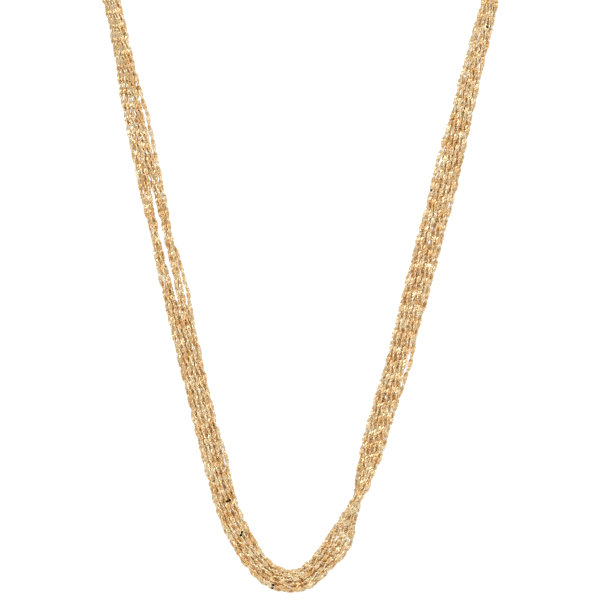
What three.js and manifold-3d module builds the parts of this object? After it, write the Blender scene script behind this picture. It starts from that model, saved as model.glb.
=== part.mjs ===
// A multi strand necklace as it is worn: ten fine twisted chains in one loose bundle, closed at the nape.
// Millimetres, +Z up, +X to the right as seen from the front, -Y ahead. The origin is the middle of the nape.
import * as THREE from 'three';
import Module from 'manifold-3d';
import { mergeVertices } from 'three/addons/utils/BufferGeometryUtils.js';

const wasm = await Module();
wasm.setup();

// Strands
const strandWidth = 1; // over the wide side of the twisted chain
const strandClearance = 0.1; // between two strands that lie side by side
const strandSides = 8;
const stepsPerRow = 2;
const lane = strandWidth + strandClearance;
const layer = (lane * Math.sqrt(3)) / 2;

// End caps
const capLength = 8;
const capWall = 0.6;
const capBack = 1.4; // solid metal behind the pocket
const capRound = 0.35; // rounding of the outer edges
const strandSeat = 0.3; // between the strands and the pocket
const strandInsert = 5.5; // how far the strands go into the pocket

// Eyes and jump rings
const wire = 0.8;
const eyeHole = 1.1; // radius
const ringHole = 1.8; // radius
const ringSeat = 0.3; // between a ring and what it pulls on
const ringTurns = 20;
const wireSides = 8;

// Clasp
const claspThickness = 1.8;
const claspRound = 0.3;
const hookHole = 1.9; // radius of the closed hook's opening
const hookWall = 1;
const tailWall = 0.8;
const claspReach = 7; // between the centres of the hook and the tail eye
const curveSteps = 7;
const roundSteps = 2;

// The route of the bundle's middle. x, y and z are millimetres. faces is the way the bundle's front looks, in
// degrees: 0 is ahead, 90 is to the right. turn rolls the whole bundle about its middle, rollA and rollB roll its
// two halves, all in degrees, and gap parts the halves, in lanes.
const columns = ['x', 'y', 'z', 'faces', 'turn', 'rollA', 'rollB', 'gap'];

// Round the right side of the neck, from the end cap to where the front begins. The left side is its mirror.
const neckRoute = [
  [28, -1, -0.2, 177, 0, 0, 0, 0],
  [43, -11.5, -2.5, 140, 0, 0, 0, 0],
  [54, -32, -7, 108, 0, 0, 0, 0],
  [57, -54, -12.5, 90, 0, 0, 0, 0],
  [54.5, -76, -20.5, 74, 0, 0, 0, 0],
  [50.3, -91, -31.5, 62, 0, 0, 0, 0],
];

// Down the left side, round the lowest point and up the right side.
const frontRoute = [
  [-47.25, -95, -42, -58, 0, 0, 0, 0],
  [-44, -96.8, -57, -52, 0, 0, 0, 0],
  [-41, -98, -72, -22, 0, 0, 0, 0],
  [-37.6, -99.2, -87, -3, 0, 18, 18, 0.05],
  [-34.4, -100.5, -102, 0, 0, 90, 90, 0.4],
  [-30.8, -101.8, -117, 0, 0, 162, 162, 0.15],
  [-27.4, -103, -132, 0, 0, 180, 180, 0.1],
  [-23.8, -104.3, -147, 0, 0, 180, 180, 0.05],
  [-20.7, -105.4, -159.5, 0, 0, 180, 180, 0],
  [-17.9, -106.3, -169.5, 0, 0, 180, 180, 0],
  [-14.1, -107, -177.5, 0, 0, 180, 180, 0],
  [-9.75, -107.5, -183.6, 0, 0, 180, 180, 0],
  [-5.75, -107.9, -186.25, 0, 0, 180, 180, 0],
  [-1.75, -108, -186.9, 0, 0, 180, 180, 0],
  [1.9, -107.9, -185.75, 0, 1, 180, 180, 0],
  [5.3, -107.5, -182.6, 0, 4, 180, 180, 0.15],
  [9, -107, -177.75, 0, 14, 180, 180, 0.4],
  [13, -106.3, -169.5, 0, 62, 180, 180, 0.2],
  [16.6, -105.4, -159.5, 0, 130, 180, 180, 0],
  [20.1, -104.3, -147, 0, 172, 180, 180, 0],
  [24.5, -103, -132, 0, 180, 180, 180, 0],
  [28.5, -101.8, -117, 0, 180, 180, 180, 0.1],
  [32.4, -100.5, -102, 0, 180, 180, 180, 0.2],
  [36.5, -99.2, -87, 0, 180, 180, 180, 0.15],
  [40.2, -98, -72, 10, 180, 180, 180, 0],
  [43.8, -96.8, -57, 26, 180, 180, 180, 0],
  [47.75, -95, -42, 48, 180, 180, 180, 0],
];

// Where single strands leave their lanes and come back. row counts along the route, and across and out are lanes.
const strayColumns = ['strand', 'row', 'reach', 'across', 'out'];
const strays = [
  [6, 9.05, 0.8, 0.45, 0],
  [8, 11.75, 1, 0.5, 0],
  [8, 14.8, 0.6, 0.35, 0],
  [3, 23.3, 1.1, -0.75, 0],
  [7, 24.6, 0.8, 0, 0.6],
  [8, 26.9, 0.75, 0.65, 0],
  [3, 28.8, 2, -0.25, 0],
  [8, 28.8, 2, 0.25, 0],
  [3, 30.35, 0.75, -0.5, 0],
];

// Where each strand lies in its half of the bundle, in lanes across and layers outwards
const slots = [
  [-1, 0.5],
  [0, 0.5],
  [1, 0.5],
  [-0.5, -0.5],
  [0.5, -0.5],
];
// Each half is as wide as half its strands side by side. This is the way to its middle, in lanes.
const halfOffset = slots.length / 4;
const strandCount = 2 * slots.length;

// The bundle's size over all its strands where they lie flat
const bundleAcross = (2 * halfOffset + 2) * lane + strandWidth;
const bundleThrough = layer + strandWidth;

// Places along X of the closing, worked out from its middle
const ringRadius = ringHole + wire / 2;
const eyeRadius = eyeHole + wire / 2;
const eyeSlack = eyeHole - wire / 2 - ringSeat;
const hookSlack = hookHole - wire / 2 - ringSeat;
const closingReach = claspReach + hookSlack + eyeSlack + 2 * (2 * ringRadius + eyeSlack + eyeRadius);
const capBackX = closingReach / 2;
const capMouthX = capBackX + capLength;
const eyeX = capBackX - eyeRadius;
const ringX = eyeX - eyeSlack - ringRadius;
const tailX = ringX - ringRadius - eyeSlack;
const hookX = -ringX + ringRadius + hookSlack;

const gold = new THREE.MeshStandardMaterial({ color: 0xd9ba88, metalness: 1, roughness: 0.25 });
const goldPlain = new THREE.MeshStandardMaterial({ color: 0xd2b07a, metalness: 1, roughness: 0.3 });

const radians = THREE.MathUtils.degToRad;

function named(keys, values) {
  return Object.fromEntries(keys.map((key, i) => [key, values[i]]));
}

// The whole route, from the strands' end in the left cap to their end in the right cap
function wholeRoute() {
  const end = [capMouthX - strandInsert, 0, 0, 180, 0, 0, 0, 0];
  const right = [end, ...neckRoute].map((row) => named(columns, row));
  const front = frontRoute.map((row) => named(columns, row));
  const last = front[front.length - 1];
  const left = right.map((row) => ({ ...row, x: -row.x, faces: -row.faces }));
  const up = right.map((row) => ({ ...row, turn: last.turn, rollA: last.rollA, rollB: last.rollB }));
  return [...left, ...front, ...up.reverse()];
}

const route = wholeRoute();

// A column's value at a place between rows, on a smooth curve through them
function along(column, place) {
  const last = route.length - 1;
  const i = Math.min(Math.floor(place), last - 1);
  const f = place - i;
  const [p, q, r, s] = [-1, 0, 1, 2].map((k) => route[THREE.MathUtils.clamp(i + k, 0, last)][column]);
  const slopeQ = (r - p) / 2;
  const slopeR = (s - q) / 2;
  const bend = 3 * (r - q) - 2 * slopeQ - slopeR;
  const ease = 2 * (q - r) + slopeQ + slopeR;
  return q + f * (slopeQ + f * (bend + f * ease));
}

function middleAt(place) {
  return new THREE.Vector3(along('x', place), along('y', place), along('z', place));
}

// How far a strand has left its lane at a place
function strayAt(strand, place) {
  const offset = new THREE.Vector2();
  for (const stray of strays.map((row) => named(strayColumns, row))) {
    const distance = Math.abs(place - stray.row) / stray.reach;
    if (stray.strand === strand && distance < 1) {
      const share = (1 + Math.cos(Math.PI * distance)) / 2;
      offset.add(new THREE.Vector2(stray.across, stray.out).multiplyScalar(share));
    }
  }
  return offset;
}

// A strand's middle line. Every strand steps at the same places of the route.
class StrandCurve extends THREE.Curve {
  constructor(strand) {
    super();
    this.strand = strand;
    this.side = strand <= slots.length ? -1 : 1;
    const [across, out] = slots[(strand - 1) % slots.length];
    this.slot = new THREE.Vector2(across * lane, out * layer).multiplyScalar(-this.side);
  }

  getUtoTmapping(u) {
    return u;
  }

  getPoint(t, target = new THREE.Vector3()) {
    const place = t * (route.length - 1);
    const nudge = 0.01;
    const before = middleAt(Math.max(place - nudge, 0));
    const forward = middleAt(Math.min(place + nudge, route.length - 1)).sub(before).normalize();
    const faces = radians(along('faces', place));
    const out = new THREE.Vector3(Math.sin(faces), -Math.cos(faces), 0);
    out.addScaledVector(forward, -out.dot(forward)).normalize();
    const across = new THREE.Vector3().crossVectors(out, forward);

    const centre = new THREE.Vector2();
    const roll = radians(along(this.side < 0 ? 'rollA' : 'rollB', place));
    const spot = this.slot.clone().rotateAround(centre, roll);
    spot.x += this.side * (halfOffset + along('gap', place) / 2) * lane;
    spot.addScaledVector(strayAt(this.strand, place), lane);
    spot.rotateAround(centre, radians(along('turn', place)));
    return target.copy(middleAt(place)).addScaledVector(across, spot.x).addScaledVector(out, spot.y);
  }
}

function strandGeometry(strand) {
  const section = new THREE.Shape();
  section.absarc(0, 0, strandWidth / 2, 0, 2 * Math.PI);
  return new THREE.ExtrudeGeometry(section, {
    extrudePath: new StrandCurve(strand),
    steps: stepsPerRow * (route.length - 1),
    curveSegments: strandSides / 2,
  });
}

function toManifold(geometry) {
  const bare = geometry.clone();
  bare.deleteAttribute('normal');
  bare.deleteAttribute('uv');
  const merged = mergeVertices(bare, 1e-4);
  return new wasm.Manifold(
    new wasm.Mesh({
      numProp: 3,
      vertProperties: new Float32Array(merged.attributes.position.array),
      triVerts: new Uint32Array(merged.index.array),
    }),
  );
}

function toGeometry(solid) {
  const mesh = solid.getMesh();
  const geometry = new THREE.BufferGeometry();
  geometry.setAttribute('position', new THREE.BufferAttribute(new Float32Array(mesh.vertProperties), 3));
  geometry.setIndex(new THREE.BufferAttribute(new Uint32Array(mesh.triVerts), 1));
  geometry.computeVertexNormals();
  return geometry;
}

// An outline with round ends, wide along X and thick along Y
function ovalShape(width, thickness) {
  const r = thickness / 2;
  const shape = new THREE.Shape();
  shape.absarc(width / 2 - r, 0, r, -Math.PI / 2, Math.PI / 2);
  shape.absarc(r - width / 2, 0, r, Math.PI / 2, (3 * Math.PI) / 2);
  return shape;
}

// An oval block along +X from a start, wide along Z
function ovalBlock(width, thickness, start, length, round) {
  const bevel = { bevelThickness: round, bevelSize: round, bevelOffset: -round, bevelSegments: roundSteps };
  const geometry = new THREE.ExtrudeGeometry(ovalShape(width, thickness), {
    depth: length - 2 * round,
    curveSegments: curveSteps,
    bevelEnabled: round > 0,
    ...bevel,
  });
  geometry.translate(0, 0, round);
  geometry.rotateY(Math.PI / 2);
  geometry.translate(start, 0, 0);
  return geometry;
}

// The right end cap: an oval cup that opens away from the clasp, with an eye behind it
function capGeometry() {
  const insideAcross = bundleAcross + 2 * strandSeat;
  const insideThrough = bundleThrough + 2 * strandSeat;
  const outside = ovalBlock(insideAcross + 2 * capWall, insideThrough + 2 * capWall, capBackX, capLength, capRound);
  const pocket = ovalBlock(insideAcross, insideThrough, capBackX + capBack, capLength, 0);
  const eye = new THREE.TorusGeometry(eyeRadius, wire / 2, wireSides, ringTurns);
  eye.rotateX(Math.PI / 2);
  eye.translate(eyeX, 0, 0);
  return toGeometry(toManifold(outside).subtract(toManifold(pocket)).add(toManifold(eye)));
}

function jumpRingGeometry() {
  return new THREE.TorusGeometry(ringRadius, wire / 2, wireSides, ringTurns);
}

// The clasp lies in the XZ plane: a round hook end and a round tail end, joined by their common tangents
function claspGeometry() {
  const hookOuter = hookHole + hookWall;
  const tailOuter = eyeHole + tailWall;
  const lean = Math.acos((hookOuter - tailOuter) / (tailX - hookX));
  const shape = new THREE.Shape();
  shape.absarc(tailX, 0, tailOuter, -lean, lean);
  shape.absarc(hookX, 0, hookOuter, lean, 2 * Math.PI - lean);
  for (const [x, hole] of [[tailX, eyeHole], [hookX, hookHole]]) {
    const opening = new THREE.Path();
    opening.absarc(x, 0, hole, 0, 2 * Math.PI, true);
    shape.holes.push(opening);
  }
  const geometry = new THREE.ExtrudeGeometry(shape, {
    depth: claspThickness - 2 * claspRound,
    curveSegments: curveSteps,
    bevelThickness: claspRound,
    bevelSize: claspRound,
    bevelOffset: -claspRound,
    bevelSegments: roundSteps,
  });
  geometry.translate(0, 0, claspRound - claspThickness / 2);
  geometry.rotateX(Math.PI / 2);
  return geometry;
}

function piece(name, geometry, material) {
  const mesh = new THREE.Mesh(geometry, material);
  mesh.name = name;
  return mesh;
}

const necklace = new THREE.Group();

for (let strand = 1; strand <= strandCount; strand += 1) {
  const name = `strand_${String(strand).padStart(2, '0')}`;
  necklace.add(piece(name, strandGeometry(strand), gold));
}

for (const [side, sign] of [['left', -1], ['right', 1]]) {
  const cap = piece(`end_cap_${side}`, capGeometry(), goldPlain);
  cap.rotation.z = sign < 0 ? Math.PI : 0;
  const ring = piece(`jump_ring_${side}`, jumpRingGeometry(), goldPlain);
  ring.position.x = sign * ringX;
  necklace.add(cap, ring);
}

necklace.add(piece('clasp', claspGeometry(), goldPlain));

export default necklace;
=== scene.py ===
"""A multi strand necklace as it is worn: ten fine twisted chains in a loose bundle, closed at the nape.

Metres, +Z up, +X to the right as seen from the front, -Y ahead. The origin is the middle of the nape.
"""

import math

import bpy
import numpy as np
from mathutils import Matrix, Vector


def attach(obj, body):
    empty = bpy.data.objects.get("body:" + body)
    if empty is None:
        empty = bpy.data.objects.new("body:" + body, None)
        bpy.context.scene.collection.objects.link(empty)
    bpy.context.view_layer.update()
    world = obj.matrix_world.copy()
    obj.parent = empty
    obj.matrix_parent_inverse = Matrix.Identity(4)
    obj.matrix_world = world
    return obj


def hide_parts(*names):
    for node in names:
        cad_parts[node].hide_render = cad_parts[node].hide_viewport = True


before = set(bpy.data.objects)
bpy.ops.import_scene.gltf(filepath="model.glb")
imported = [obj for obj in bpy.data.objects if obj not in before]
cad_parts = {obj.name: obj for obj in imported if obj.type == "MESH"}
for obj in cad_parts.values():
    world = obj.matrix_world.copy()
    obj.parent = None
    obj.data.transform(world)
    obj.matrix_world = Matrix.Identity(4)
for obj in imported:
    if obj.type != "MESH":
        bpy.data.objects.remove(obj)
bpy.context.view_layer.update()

# The route of the bundle's middle. x, y and z are metres. faces is the way the bundle's front looks, in
# degrees: 0 is ahead, 90 is to the right. turn rolls the whole bundle about its middle, roll_a and roll_b
# roll its two halves, all in degrees, and gap parts the halves, in lanes.
COLUMNS = ("x", "y", "z", "faces", "turn", "roll_a", "roll_b", "gap")

# Round the right side of the neck, from the end cap to where the front begins. The left is its mirror.
NECK_ROUTE = [
    (0.028, -0.001, -0.0002, 177, 0, 0, 0, 0),
    (0.043, -0.0115, -0.0025, 140, 0, 0, 0, 0),
    (0.054, -0.032, -0.007, 108, 0, 0, 0, 0),
    (0.057, -0.054, -0.0125, 90, 0, 0, 0, 0),
    (0.0545, -0.076, -0.0205, 74, 0, 0, 0, 0),
    (0.0503, -0.091, -0.0315, 62, 0, 0, 0, 0),
]

# Down the left side, round the lowest point and up the right side
FRONT_ROUTE = [
    (-0.04725, -0.095, -0.042, -58, 0, 0, 0, 0),
    (-0.044, -0.0968, -0.057, -52, 0, 0, 0, 0),
    (-0.041, -0.098, -0.072, -22, 0, 0, 0, 0),
    (-0.0376, -0.0992, -0.087, -3, 0, 18, 18, 0.05),
    (-0.0344, -0.1005, -0.102, 0, 0, 90, 90, 0.4),
    (-0.0308, -0.1018, -0.117, 0, 0, 162, 162, 0.15),
    (-0.0274, -0.103, -0.132, 0, 0, 180, 180, 0.1),
    (-0.0238, -0.1043, -0.147, 0, 0, 180, 180, 0.05),
    (-0.0207, -0.1054, -0.1595, 0, 0, 180, 180, 0),
    (-0.0179, -0.1063, -0.1695, 0, 0, 180, 180, 0),
    (-0.0141, -0.107, -0.1775, 0, 0, 180, 180, 0),
    (-0.00975, -0.1075, -0.1836, 0, 0, 180, 180, 0),
    (-0.00575, -0.1079, -0.18625, 0, 0, 180, 180, 0),
    (-0.00175, -0.108, -0.1869, 0, 0, 180, 180, 0),
    (0.0019, -0.1079, -0.18575, 0, 1, 180, 180, 0),
    (0.0053, -0.1075, -0.1826, 0, 4, 180, 180, 0.15),
    (0.009, -0.107, -0.17775, 0, 14, 180, 180, 0.4),
    (0.013, -0.1063, -0.1695, 0, 62, 180, 180, 0.2),
    (0.0166, -0.1054, -0.1595, 0, 130, 180, 180, 0),
    (0.0201, -0.1043, -0.147, 0, 172, 180, 180, 0),
    (0.0245, -0.103, -0.132, 0, 180, 180, 180, 0),
    (0.0285, -0.1018, -0.117, 0, 180, 180, 180, 0.1),
    (0.0324, -0.1005, -0.102, 0, 180, 180, 180, 0.2),
    (0.0365, -0.0992, -0.087, 0, 180, 180, 180, 0.15),
    (0.0402, -0.098, -0.072, 10, 180, 180, 180, 0),
    (0.0438, -0.0968, -0.057, 26, 180, 180, 180, 0),
    (0.04775, -0.095, -0.042, 48, 180, 180, 180, 0),
]

# Where single strands leave their lanes and come back: strand, row, reach in rows, and lanes across and
# outwards
STRAYS = [
    (6, 9.05, 0.8, 0.45, 0),
    (8, 11.75, 1.0, 0.5, 0),
    (8, 14.8, 0.6, 0.35, 0),
    (3, 23.3, 1.1, -0.75, 0),
    (7, 24.6, 0.8, 0, 0.6),
    (8, 26.9, 0.75, 0.65, 0),
    (3, 28.8, 2.0, -0.25, 0),
    (8, 28.8, 2.0, 0.25, 0),
    (3, 30.35, 0.75, -0.5, 0),
]

# Where each strand lies in its half of the bundle, in lanes across and layers outwards
SLOTS = [(-1, 0.5), (0, 0.5), (1, 0.5), (-0.5, -0.5), (0.5, -0.5)]
# Each half is as wide as half its strands side by side. This is the way to its middle, in lanes.
HALF_OFFSET = len(SLOTS) / 4
LANE = 0.0011
LAYER = LANE * math.sqrt(3) / 2
STRAND_COUNT = 2 * len(SLOTS)

# The chain: closed oval links of flat-sided wire, each turned a little further than the one before
HALF_TWIST = 0.00355
LINKS_PER_HALF_TWIST = 4
PITCH = HALF_TWIST / LINKS_PER_HALF_TWIST
LINK_WIDTH = 0.0012
WIRE = 0.00043
# The chain is pressed to this share of its natural thickness, and then its two faces are cut flat
PRESSED = 0.72
CUT_THICKNESS = 0.00056
# Sections round a link
LINK_STATIONS = 12
TURN_PER_LINK = math.pi / LINKS_PER_HALF_TWIST
# Each end of a link is twisted this far, so that it lies square to its neighbour's end
LINK_TWIST = (math.pi / 2 - TURN_PER_LINK) / 2
# Across and through the wire, as shares of its width: flats on both faces
WIRE_SECTION = [(0.5, 0), (0.36, 0.55), (-0.36, 0.55), (-0.5, 0), (-0.36, -0.55), (0.36, -0.55)]
# The height on the left side where all strands show their faces at once. From there each strand's twist
# runs ahead or behind in waves: radians over the whole strand, and reach in radians.
IN_STEP_HEIGHT = -0.0536
TWIST_DRIFT = [(7, 1.6), (19, 0.5), (47, 0.25)]
# Points of a strand's line from one row to the next
SAMPLES_PER_ROW = 60
# How far a strand strays from its lane in each of its waves, and the waves in radians per row
WANDER = 0.00006
WANDER_WAVES = (0.7, 3.1, 7.3, 13, 19)
# How far single links lean out of the even twist, in radians
UNEVEN = 0.16
# Drift and lean grow from nothing at the height in step to their whole size this far along the strand
CALM_REACH = 0.032
# Where the random numbers of the first strand start
FIRST_SEED = 701

# The points of a strand's two ends lie this near to the nape's middle, ahead or behind
END_REACH = 0.003

# Gold tones, pale and deep, and the least and most roughness of each material
CHAIN_GOLD = {"light": (0.98, 0.82, 0.55), "deep": (0.89, 0.61, 0.3), "roughness": (0.28, 0.4)}
FITTING_GOLD = {"light": (0.93, 0.74, 0.47), "deep": (0.92, 0.72, 0.45), "roughness": (0.16, 0.22)}
# The tint of a reflection that glances off the metal
EDGE_TINT = (1.0, 0.82, 0.55)
# How fine the patches of tone are, how much detail they hold, and the noise values where each tone is pure
TONE_SCALE = 370.0
TONE_DETAIL = 3.0
TONE_SPREAD = (0.4, 0.6)
# The noise values where the roughness is least and most
POLISH_SPREAD = (0.3, 0.7)
# The fine grain of the metal
GRAIN_SCALE = 5200.0
GRAIN_DETAIL = 2.0
GRAIN_STRENGTH = 0.04
GRAIN_DEPTH = 0.00003

# Small spots on the front of the chains where their colour is painted near black: x and z
DARK_SPOTS = [
    (-0.0182, -0.1672),
    (-0.0175, -0.1669),
    (-0.01445, -0.1748),
    (-0.01475, -0.1756),
    (-0.0067, -0.1879),
    (-0.0069, -0.1887),
    (0.01805, -0.1626),
    (0.03275, -0.0895),
    (0.0471, -0.0485),
]
DARK_SPOT_RADIUS = 0.00029
# How much further than its radius a spot fades out
DARK_SPOT_FADE = 1.3
# The near-black colour painted into the spots
DARK_SPOT_COLOUR = (0.03, 0.015, 0.008)

# How bright the studio is round the necklace, from straight ahead of it (0) to straight behind it (1)
STUDIO_TONES = [(0.0, 1.0), (0.05, 1.0), (0.12, 0.41), (0.975, 0.4), (0.982, 0.8)]
STUDIO_STRENGTH = 1.34
# Soft lamps: name, place, width and height, power
LAMPS = [
    ("key", (-0.5, -0.9, 0.5), (0.4, 0.4), 2.5),
    ("fill", (0.8, -0.7, 0.1), (0.3, 0.8), 1.2),
    ("top", (0, -0.1, 0.9), (0.8, 0.8), 2),
]

# A round pale floor under the necklace
FLOOR_PLACE = (0, -0.06, -0.3)
FLOOR_RADIUS = 0.6
FLOOR_CORNERS = 96
FLOOR_TONE = 0.9
FLOOR_ROUGHNESS = 0.9

# The picture is a square on the plane that the front hangs in
PICTURE_SIDE = 0.15
PICTURE_TOP = -0.042
FRONT_PLANE = -0.102
CAMERA_DISTANCE = 1.4
# How far the camera sees
CAMERA_REACH = 20
SENSOR = 36.0


def whole_route():
    """All rows, from the strands' end in the left cap to their end in the right cap."""
    ends = [v.co.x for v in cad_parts["strand_01"].data.vertices if abs(v.co.y) < END_REACH]
    end_x = min(x for x in ends if x > 0)
    right = [(end_x, 0, 0, 180, 0, 0, 0, 0)] + NECK_ROUTE
    left = [(-row[0], row[1], row[2], -row[3], *row[4:]) for row in right]
    last = FRONT_ROUTE[-1]
    up = [(*row[:4], *last[4:7], row[7]) for row in reversed(right)]
    return np.array(left + FRONT_ROUTE + up, float)


ROUTE = whole_route()


def along(place):
    """Every column at places between rows, on a smooth curve through them."""
    last = len(ROUTE) - 1
    i = np.minimum(np.floor(place).astype(int), last - 1)
    f = (place - i)[:, None]
    p, q, r, s = (ROUTE[np.clip(i + k, 0, last)] for k in (-1, 0, 1, 2))
    slope_q = (r - p) / 2
    slope_r = (s - q) / 2
    bend = 3 * (r - q) - 2 * slope_q - slope_r
    ease = 2 * (q - r) + slope_q + slope_r
    return q + f * (slope_q + f * (bend + f * ease))


def unit(v):
    return v / np.linalg.norm(v, axis=-1, keepdims=True)


def turned(x, y, angle):
    return x * np.cos(angle) - y * np.sin(angle), x * np.sin(angle) + y * np.cos(angle)


def strand_line(strand, rng):
    """A strand's middle line and the bundle's outward direction along it, close together."""
    last = len(ROUTE) - 1
    place = np.linspace(0, last, last * SAMPLES_PER_ROW + 1)
    rows = dict(zip(COLUMNS, along(place).T))
    middle = np.stack([rows["x"], rows["y"], rows["z"]], 1)
    forward = unit(np.gradient(middle, axis=0))
    faces = np.radians(rows["faces"])
    out = np.stack([np.sin(faces), -np.cos(faces), np.zeros_like(faces)], 1)
    out = unit(out - (out * forward).sum(1, keepdims=True) * forward)
    across = np.cross(out, forward)

    side = -1 if strand <= len(SLOTS) else 1
    slot = SLOTS[(strand - 1) % len(SLOTS)]
    roll = np.radians(rows["roll_a" if side < 0 else "roll_b"])
    x, y = turned(-side * slot[0] * LANE, -side * slot[1] * LAYER, roll)
    x = x + side * (HALF_OFFSET + rows["gap"] / 2) * LANE
    for stray, row, reach, stray_across, stray_out in STRAYS:
        if stray == strand:
            share = (1 + np.cos(np.pi * np.clip(np.abs(place - row) / reach, 0, 1))) / 2
            x = x + stray_across * LANE * share
            y = y + stray_out * LANE * share
    x, y = turned(x, y, np.radians(rows["turn"]))
    free = np.clip(np.minimum(place, last - place) - 1, 0, 1)
    for waves in WANDER_WAVES:
        for offset in (x, y):
            offset += WANDER * free * np.sin(place * waves + rng.uniform(0, 2 * math.pi))
    return middle + across * x[:, None] + out * y[:, None], out


def chain_links(strand, rng):
    """Middle, forward, out and side direction and turn of each link of a strand."""
    line, out = strand_line(strand, rng)
    reached = np.concatenate([[0], np.cumsum(np.linalg.norm(np.diff(line, axis=0), axis=1))])
    count = int((reached[-1] - 2 * PITCH) / PITCH)
    start = (reached[-1] - (count - 1) * PITCH) / 2
    at = start + PITCH * np.arange(count)

    def sample(values, where):
        return np.stack([np.interp(where, reached, values[:, k]) for k in range(3)], 1)

    centre = sample(line, at)
    forward = unit(sample(line, at + PITCH / 2) - sample(line, at - PITCH / 2))
    normal = sample(out, at)
    normal = unit(normal - (normal * forward).sum(1, keepdims=True) * forward)
    in_step = reached[np.argmax(line[:, 2] < IN_STEP_HEIGHT)]
    turn = math.pi * (at - in_step) / HALF_TWIST
    unrest = np.clip(np.abs(at - in_step) / CALM_REACH, 0, 1)
    for waves, reach in TWIST_DRIFT:
        phase = rng.uniform(0, 2 * math.pi)
        drift = [reach * np.sin(waves * where / reached[-1] + phase) for where in (at, in_step)]
        turn += (drift[0] - drift[1]) * unrest
    turn += rng.normal(0, UNEVEN, count) * unrest
    return centre, forward, normal, turn


def chain_mesh(name, strand, rng):
    """All links of a strand as one mesh, each a closed oval ring that passes through its neighbours."""
    centre, forward, normal, turn = chain_links(strand, rng)
    side = np.cross(forward, normal)
    half_length = (PITCH + WIRE) / 2
    half_width = (LINK_WIDTH - WIRE) / 2

    def ring_point(theta):
        angle = turn[:, None] - LINK_TWIST * np.cos(theta)[None, :]
        wide = np.cos(angle)[..., None] * side[:, None] + np.sin(angle)[..., None] * normal[:, None]
        run = (half_length * np.cos(theta))[None, :, None] * forward[:, None]
        return centre[:, None] + run + (half_width * np.sin(theta))[None, :, None] * wide

    def chain_face(offset):
        """The way the flat chain faces, at places given as offsets from the link's centre."""
        run = (offset * forward[(slice(None),) + (None,) * (offset.ndim - 2)]).sum(-1)
        angle = turn.reshape((-1,) + (1,) * (offset.ndim - 2)) + TURN_PER_LINK * run / PITCH
        sideways = side.reshape((-1,) + (1,) * (offset.ndim - 2) + (3,))
        outwards = normal.reshape((-1,) + (1,) * (offset.ndim - 2) + (3,))
        return np.cos(angle)[..., None] * outwards - np.sin(angle)[..., None] * sideways

    theta = np.arange(LINK_STATIONS) * 2 * math.pi / LINK_STATIONS
    nudge = 0.05
    spine = ring_point(theta)
    tangent = unit(ring_point(theta + nudge) - ring_point(theta - nudge))
    face = chain_face(spine - centre[:, None])
    face = unit(face - (face * tangent).sum(-1, keepdims=True) * tangent)
    outward = np.cross(face, tangent)
    section = np.array(WIRE_SECTION) * WIRE
    offset = (
        (spine - centre[:, None])[:, :, None]
        + outward[:, :, None] * section[None, None, :, :1]
        + face[:, :, None] * section[None, None, :, 1:]
    )
    cut = chain_face(offset)
    height = (offset * cut).sum(-1, keepdims=True)
    offset -= cut * (height - np.clip(height * PRESSED, -CUT_THICKNESS / 2, CUT_THICKNESS / 2))
    points = centre[:, None, None] + offset
    corners = len(WIRE_SECTION)
    links = len(centre)
    counts = (links, LINK_STATIONS, corners)
    i, j, k = np.meshgrid(*(np.arange(count) for count in counts), indexing="ij")
    j_next = (j + 1) % LINK_STATIONS
    k_next = (k + 1) % corners

    def index(jj, kk):
        return (i * LINK_STATIONS + jj) * corners + kk

    quads = np.stack([index(j, k), index(j, k_next), index(j_next, k_next), index(j_next, k)], -1)
    quads = quads.reshape(-1, 4)
    mesh = bpy.data.meshes.new(name)
    mesh.vertices.add(points.size // 3)
    mesh.vertices.foreach_set("co", points.reshape(-1).astype(np.float32))
    mesh.loops.add(quads.size)
    mesh.loops.foreach_set("vertex_index", quads.reshape(-1).astype(np.int32))
    mesh.polygons.add(len(quads))
    mesh.polygons.foreach_set("loop_start", np.arange(0, quads.size, 4, dtype=np.int32))
    mesh.update(calc_edges=True)
    mesh.validate()
    mesh.shade_flat()
    return mesh


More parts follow.
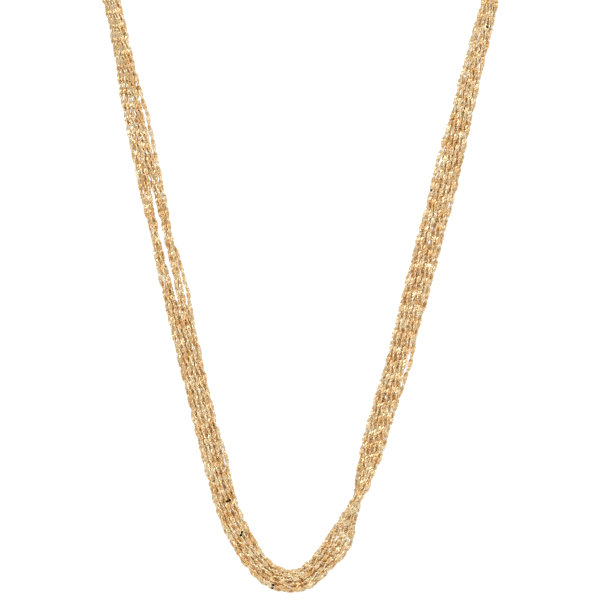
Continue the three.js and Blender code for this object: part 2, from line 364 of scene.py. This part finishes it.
def gold_material(name, gold):
    """Pale plated gold whose tone and polish drift slightly from place to place."""
    material = bpy.data.materials.new(name)
    material.use_nodes = True
    nodes = material.node_tree.nodes
    links = material.node_tree.links
    shader = nodes["Principled BSDF"]
    shader.inputs["Metallic"].default_value = 1.0
    shader.inputs["Specular Tint"].default_value = (*EDGE_TINT, 1)
    place = nodes.new("ShaderNodeTexCoord")
    drift = nodes.new("ShaderNodeTexNoise")
    drift.inputs["Scale"].default_value = TONE_SCALE
    drift.inputs["Detail"].default_value = TONE_DETAIL
    spread = nodes.new("ShaderNodeMapRange")
    spread.inputs["From Min"].default_value = TONE_SPREAD[0]
    spread.inputs["From Max"].default_value = TONE_SPREAD[1]
    tone = nodes.new("ShaderNodeMixRGB")
    tone.inputs["Color1"].default_value = (*gold["light"], 1)
    tone.inputs["Color2"].default_value = (*gold["deep"], 1)
    polish = nodes.new("ShaderNodeMapRange")
    polish.inputs["From Min"].default_value = POLISH_SPREAD[0]
    polish.inputs["From Max"].default_value = POLISH_SPREAD[1]
    polish.inputs["To Min"].default_value = gold["roughness"][0]
    polish.inputs["To Max"].default_value = gold["roughness"][1]
    grain = nodes.new("ShaderNodeTexNoise")
    grain.inputs["Scale"].default_value = GRAIN_SCALE
    grain.inputs["Detail"].default_value = GRAIN_DETAIL
    bump = nodes.new("ShaderNodeBump")
    bump.inputs["Strength"].default_value = GRAIN_STRENGTH
    bump.inputs["Distance"].default_value = GRAIN_DEPTH
    links.new(place.outputs["Object"], drift.inputs["Vector"])
    links.new(place.outputs["Object"], grain.inputs["Vector"])
    links.new(drift.outputs["Fac"], spread.inputs["Value"])
    links.new(spread.outputs["Result"], tone.inputs["Fac"])
    links.new(tone.outputs["Color"], shader.inputs["Base Color"])
    links.new(drift.outputs["Fac"], polish.inputs["Value"])
    links.new(polish.outputs["Result"], shader.inputs["Roughness"])
    links.new(grain.outputs["Fac"], bump.inputs["Height"])
    links.new(bump.outputs["Normal"], shader.inputs["Normal"])
    return material


def dark_spots(material):
    """Paint the material's colour near black in small round spots, each at one x and z."""
    nodes = material.node_tree.nodes
    links = material.node_tree.links
    shader = nodes["Principled BSDF"]
    place = nodes.new("ShaderNodeTexCoord")
    flat = nodes.new("ShaderNodeVectorMath")
    flat.operation = "MULTIPLY"
    flat.inputs[1].default_value = (1, 0, 1)
    links.new(place.outputs["Object"], flat.inputs[0])
    nearest = None
    for x, z in DARK_SPOTS:
        away = nodes.new("ShaderNodeVectorMath")
        away.operation = "DISTANCE"
        away.inputs[1].default_value = (x, 0, z)
        links.new(flat.outputs["Vector"], away.inputs[0])
        if nearest is None:
            nearest = away.outputs["Value"]
            continue
        least = nodes.new("ShaderNodeMath")
        least.operation = "MINIMUM"
        links.new(nearest, least.inputs[0])
        links.new(away.outputs["Value"], least.inputs[1])
        nearest = least.outputs["Value"]
    spot = nodes.new("ShaderNodeMapRange")
    spot.inputs["From Min"].default_value = DARK_SPOT_RADIUS * DARK_SPOT_FADE
    spot.inputs["From Max"].default_value = DARK_SPOT_RADIUS
    clean = shader.inputs["Base Color"].links[0].from_socket
    mix = nodes.new("ShaderNodeMixRGB")
    mix.inputs["Color2"].default_value = (*DARK_SPOT_COLOUR, 1)
    links.new(nearest, spot.inputs["Value"])
    links.new(spot.outputs["Result"], mix.inputs["Fac"])
    links.new(clean, mix.inputs["Color1"])
    links.new(mix.outputs["Color"], shader.inputs["Base Color"])
    return material


def make_chains(material):
    for strand in range(1, STRAND_COUNT + 1):
        rng = np.random.default_rng(FIRST_SEED + strand - 1)
        name = f"chain_{strand:02d}"
        chain = bpy.data.objects.new(name, chain_mesh(name, strand, rng))
        bpy.context.scene.collection.objects.link(chain)
        chain.data.materials.append(material)
        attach(chain, "root")
        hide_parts(f"strand_{strand:02d}")


def finish_fittings(material):
    for name in ("end_cap_left", "end_cap_right", "jump_ring_left", "jump_ring_right", "clasp"):
        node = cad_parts[name]
        node.data.materials.clear()
        node.data.materials.append(material)


def make_floor():
    bpy.ops.mesh.primitive_circle_add(
        vertices=FLOOR_CORNERS, radius=FLOOR_RADIUS, fill_type="NGON", location=FLOOR_PLACE
    )
    floor = bpy.context.object
    floor.name = "floor"
    material = bpy.data.materials.new("floor_paper")
    material.use_nodes = True
    shader = material.node_tree.nodes["Principled BSDF"]
    shader.inputs["Base Color"].default_value = (FLOOR_TONE, FLOOR_TONE, FLOOR_TONE, 1)
    shader.inputs["Roughness"].default_value = FLOOR_ROUGHNESS
    floor.data.materials.append(material)


def area_light(name, place, size, power, aim):
    data = bpy.data.lights.new(name, "AREA")
    data.shape = "RECTANGLE"
    data.size, data.size_y = size
    data.energy = power
    lamp = bpy.data.objects.new(name, data)
    lamp.location = place
    lamp.rotation_euler = (Vector(aim) - Vector(place)).to_track_quat("-Z", "Y").to_euler()
    bpy.context.scene.collection.objects.link(lamp)


def make_light():
    world = bpy.data.worlds.new("studio")
    bpy.context.scene.world = world
    world.use_nodes = True
    nodes = world.node_tree.nodes
    links = world.node_tree.links
    background = nodes["Background"]
    place = nodes.new("ShaderNodeTexCoord")
    parts = nodes.new("ShaderNodeSeparateXYZ")
    flip = nodes.new("ShaderNodeMath")
    flip.operation = "MULTIPLY"
    flip.inputs[1].default_value = -1.0
    bearing = nodes.new("ShaderNodeMath")
    bearing.operation = "ARCTAN2"
    either_side = nodes.new("ShaderNodeMath")
    either_side.operation = "ABSOLUTE"
    share = nodes.new("ShaderNodeMapRange")
    share.inputs["From Max"].default_value = math.pi
    shade = nodes.new("ShaderNodeValToRGB")
    tones = shade.color_ramp.elements
    while len(tones) < len(STUDIO_TONES):
        tones.new(0.5)
    for stop, (position, tone) in zip(tones, STUDIO_TONES):
        stop.position = position
        stop.color = (tone, tone, tone, 1)
    links.new(place.outputs["Generated"], parts.inputs["Vector"])
    links.new(parts.outputs["Y"], flip.inputs[0])
    links.new(parts.outputs["X"], bearing.inputs[0])
    links.new(flip.outputs["Value"], bearing.inputs[1])
    links.new(bearing.outputs["Value"], either_side.inputs[0])
    links.new(either_side.outputs["Value"], share.inputs["Value"])
    links.new(share.outputs["Result"], shade.inputs["Fac"])
    links.new(shade.outputs["Color"], background.inputs["Color"])
    background.inputs["Strength"].default_value = STUDIO_STRENGTH
    aim = (0, FRONT_PLANE, PICTURE_TOP - PICTURE_SIDE / 2)
    for name, place, size, power in LAMPS:
        area_light(name, place, size, power, aim)


def make_camera():
    data = bpy.data.cameras.new("camera")
    data.sensor_width = SENSOR
    data.lens = SENSOR * CAMERA_DISTANCE / PICTURE_SIDE
    data.clip_end = CAMERA_REACH
    camera = bpy.data.objects.new("camera", data)
    camera.location = (0, FRONT_PLANE - CAMERA_DISTANCE, PICTURE_TOP - PICTURE_SIDE / 2)
    camera.rotation_euler = (math.pi / 2, 0, 0)
    bpy.context.scene.collection.objects.link(camera)
    bpy.context.scene.camera = camera
    bpy.context.scene.view_settings.view_transform = "Standard"


make_camera()
make_chains(dark_spots(gold_material("strand_gold", CHAIN_GOLD)))
finish_fittings(gold_material("fitting_gold", FITTING_GOLD))
make_floor()
make_light()
